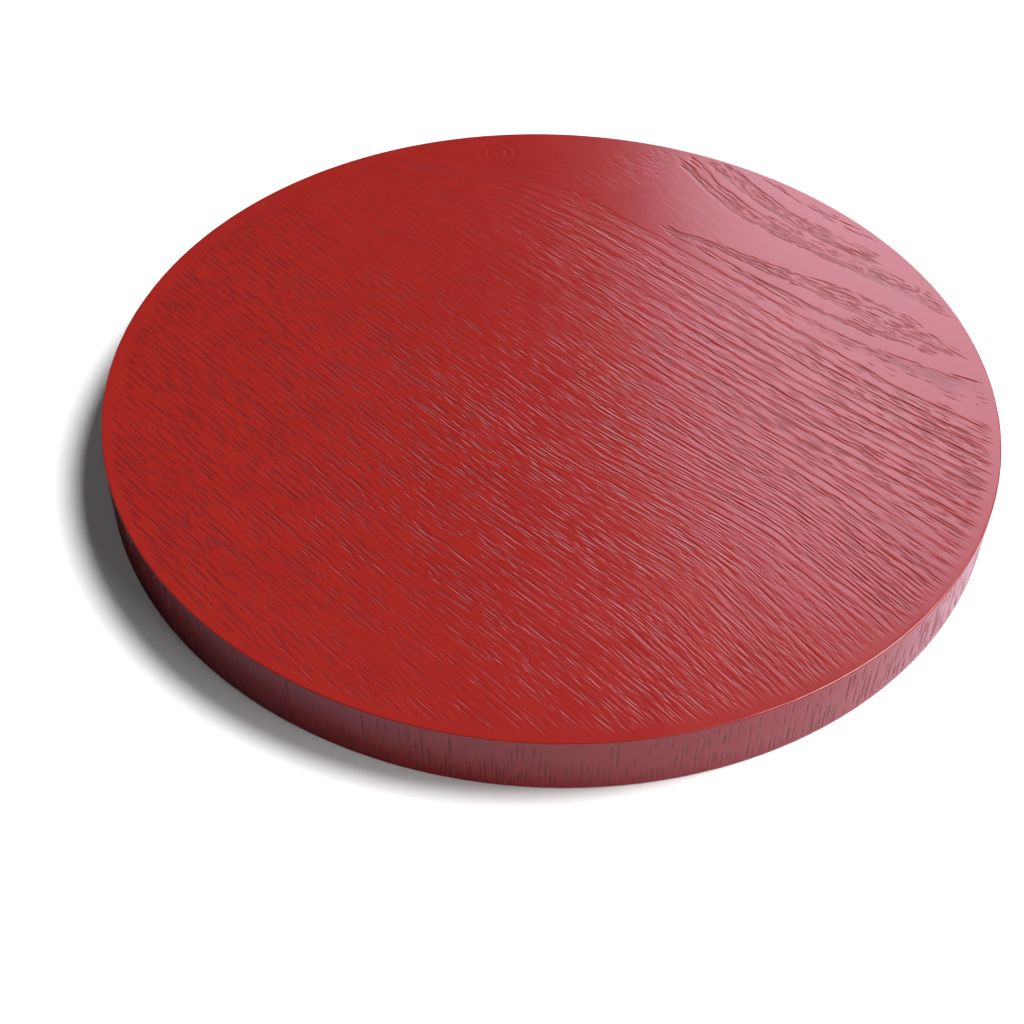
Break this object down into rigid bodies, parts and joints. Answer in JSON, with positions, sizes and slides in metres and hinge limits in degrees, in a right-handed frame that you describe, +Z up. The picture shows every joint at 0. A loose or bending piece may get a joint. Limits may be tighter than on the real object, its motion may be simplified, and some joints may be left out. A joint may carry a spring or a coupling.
{
  "type": "round veneered board",
  "caption": "Flat round wooden board in red open-pore lacquered ash veneer, with upright-grain rim strips and threaded inserts underneath, for a stool or small table.",
  "frame": {"origin": "centre of the underside, on the surface that the board rests on", "axes": "+Z up along the board's axis, from the underside to the top face; the inserts lie on the diagonals between X and Y, and the top veneer's grain runs from the -X +Y side to the +X -Y side"},
  "size_m": [0.35, 0.35, 0.025],
  "materials": {
    "red_lacquered_ash": "satin",
    "core_wood": "matte",
    "insert_brass": "satin"
  },
  "bodies": {
    "root": {"top_face_veneer": "red_lacquered_ash", "core_ply_01": "core_wood", "core_ply_02": "core_wood", "core_ply_03": "core_wood", "core_ply_04": "core_wood", "core_ply_05": "core_wood", "core_ply_06": "core_wood", "core_ply_07": "core_wood", "core_ply_08": "core_wood", "core_ply_09": "core_wood", "core_ply_10": "core_wood", "core_ply_11": "core_wood", "bottom_face_veneer": "red_lacquered_ash", "edge_veneer_strip_1": "red_lacquered_ash", "edge_veneer_strip_2": "red_lacquered_ash", "edge_veneer_strip_3": "red_lacquered_ash", "edge_veneer_strip_4": "red_lacquered_ash", "edge_veneer_strip_5": "red_lacquered_ash", "edge_veneer_strip_6": "red_lacquered_ash", "threaded_inserts": "insert_brass"}
  },
  "joints": []
}
